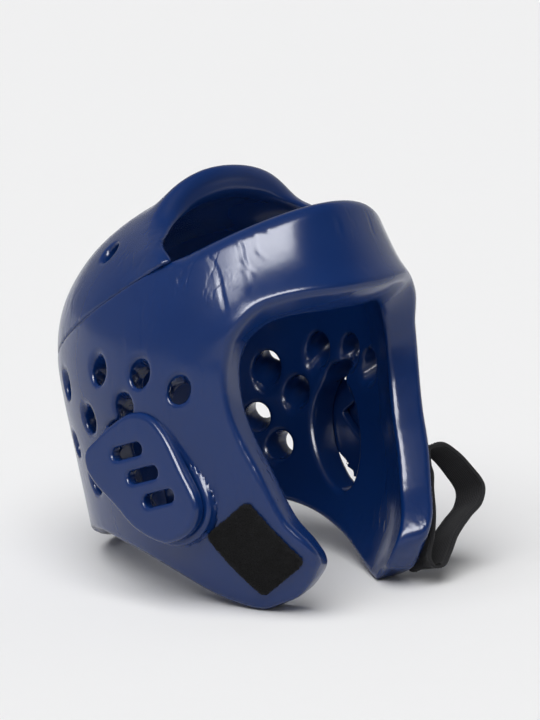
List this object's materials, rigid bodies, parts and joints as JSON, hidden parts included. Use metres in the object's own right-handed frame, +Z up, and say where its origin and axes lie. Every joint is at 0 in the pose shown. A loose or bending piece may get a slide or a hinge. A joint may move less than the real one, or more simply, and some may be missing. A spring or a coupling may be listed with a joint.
{
  "type": "taekwondo headgear",
  "caption": "Dipped foam taekwondo headgear with a forehead band, a raised crown lip, slotted ear pods, vent holes, cheek flaps, a loop patch and an elastic chin strap.",
  "frame": {"origin": "centre of the base of the headgear's bounding box, on the floor it stands on, strap included", "axes": "+Z up, -Y to the face opening, +X to the wearer's left; the headgear leans back as it rests on its cheek tips and nape"},
  "size_m": [0.213, 0.233, 0.2393],
  "materials": {
    "skin": "glossy dipped vinyl skin",
    "loop_pile": "fuzzy loop pile",
    "elastic": "knitted elastic"
  },
  "bodies": {
    "root": {"shell": "skin", "crown": "skin", "ear_ring_right": "skin", "ear_plate_right": "skin", "ear_ring_left": "skin", "ear_plate_left": "skin", "loop_patch": "loop_pile", "chin_strap": "elastic"}
  },
  "joints": []
}
